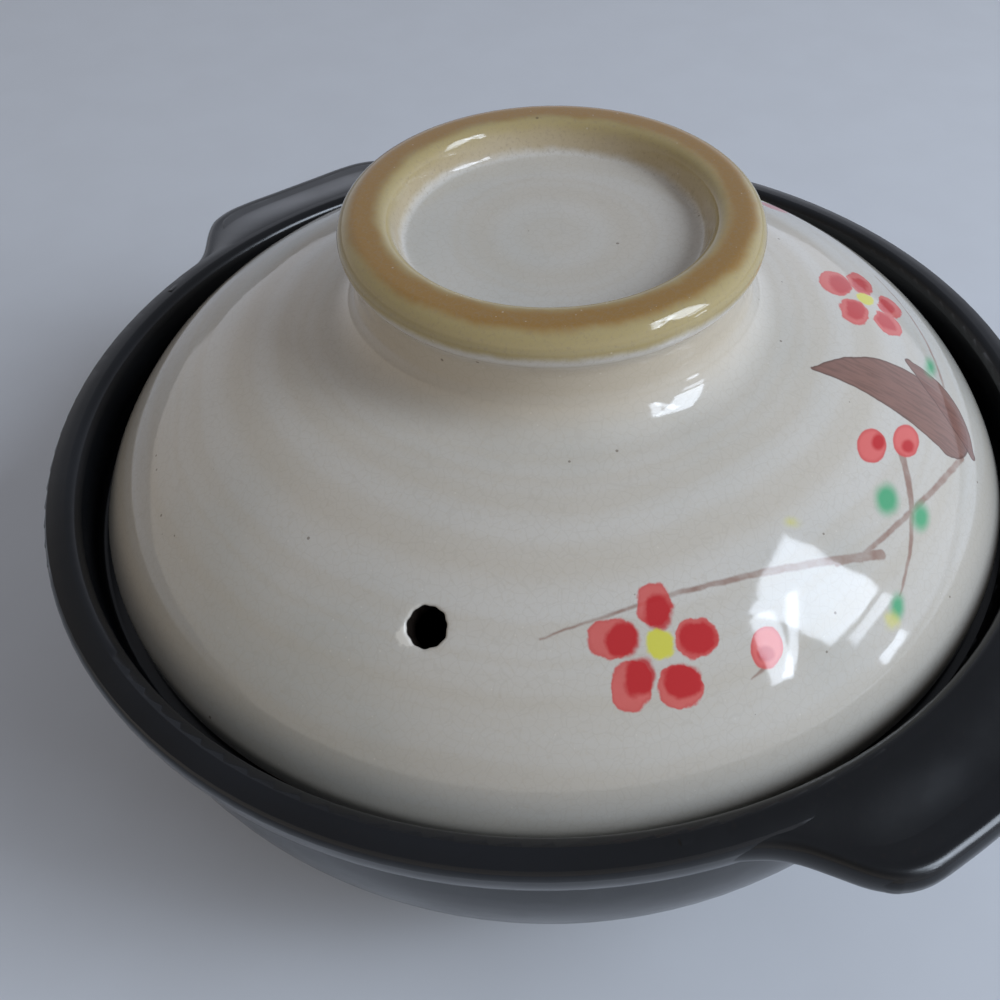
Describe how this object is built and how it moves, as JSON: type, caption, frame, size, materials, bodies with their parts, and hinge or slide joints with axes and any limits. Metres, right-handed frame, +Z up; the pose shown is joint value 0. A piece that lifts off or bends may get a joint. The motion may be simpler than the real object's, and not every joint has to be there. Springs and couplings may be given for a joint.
{
  "type": "donabe clay pot",
  "caption": "Round Japanese clay cooking pot with scalloped side lugs and a domed lid that lifts off by a flared ring knob, glazed with a plum branch.",
  "frame": {"origin": "centre of the foot ring, on the surface that the pot stands on", "axes": "+X out along one lug, +Y across the lugs, +Z up along the axis that the pot and the lid were turned about"},
  "size_m": [0.2178, 0.19, 0.1185],
  "materials": {
    "pot_glaze": "gloss",
    "lid_glaze": "gloss"
  },
  "bodies": {
    "pot": {"pot": "pot_glaze"},
    "lid": {"lid": "lid_glaze"}
  },
  "joints": [
    {"name": "lid_lift", "type": "slide", "parent": "pot", "child": "lid", "axis": [0, 0, 1], "range_m": [0, 0.12]}
  ]
}
